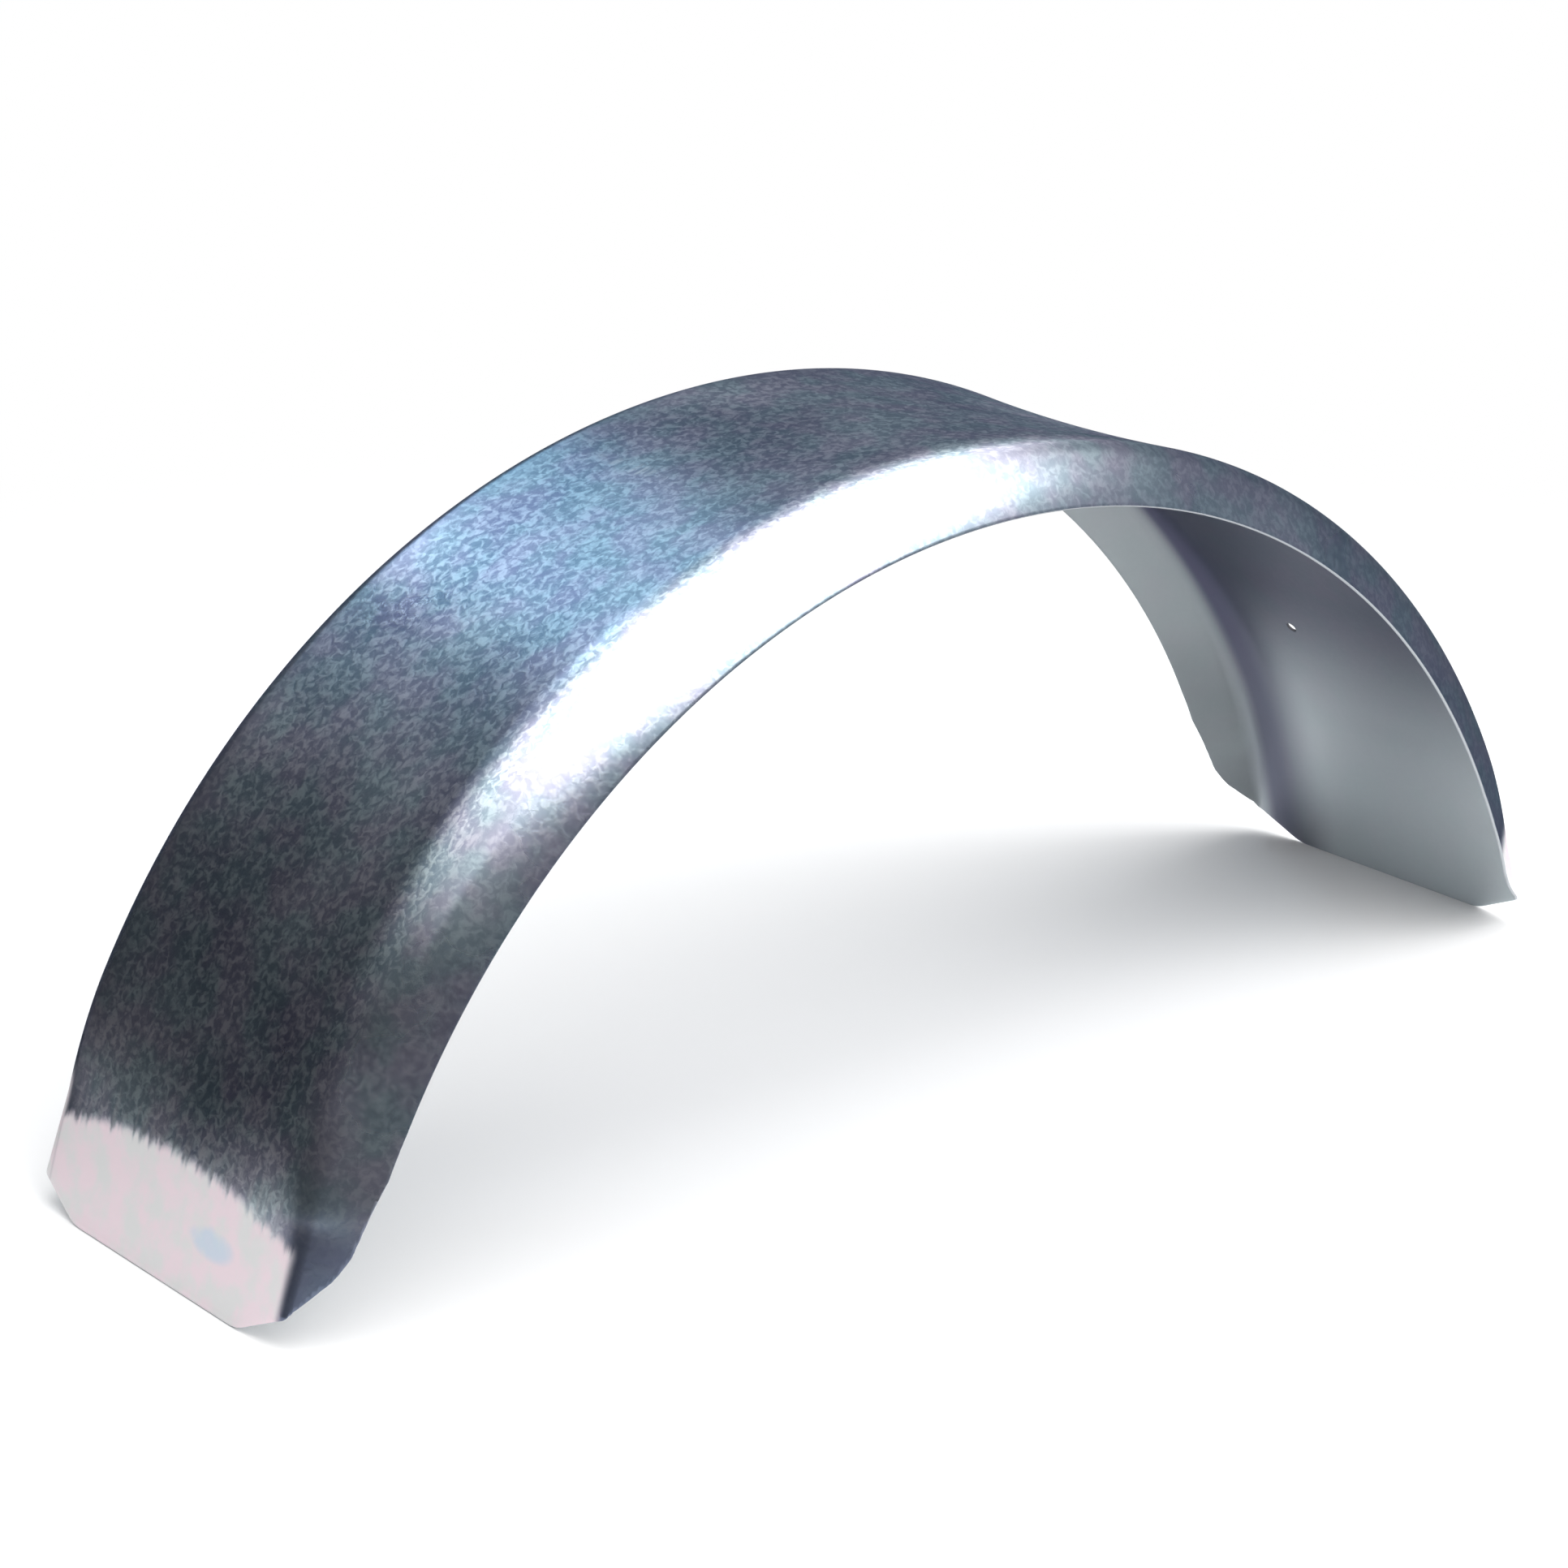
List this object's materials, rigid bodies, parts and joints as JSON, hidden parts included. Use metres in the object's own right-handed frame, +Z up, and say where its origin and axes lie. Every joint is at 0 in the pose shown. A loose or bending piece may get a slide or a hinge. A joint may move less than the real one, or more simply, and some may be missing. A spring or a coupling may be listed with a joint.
{
  "type": "trailer mudguard",
  "caption": "Arched steel mudguard for a trailer wheel, pressed from one galvanised sheet, with flared skirts, flat ends and trimmed corners.",
  "frame": {"origin": "middle of the box of the guard at its base, on the surface that its two ends stand on", "axes": "+X along the guard towards the end with the fixing hole, +Y across it towards the side that the hole lies on, +Z up"},
  "size_m": [0.733, 0.2, 0.2947],
  "materials": {
    "galvanised_sheet": "satin hot-dip zinc with a fine spangle"
  },
  "bodies": {
    "root": {"mudguard": "galvanised_sheet"}
  },
  "joints": []
}
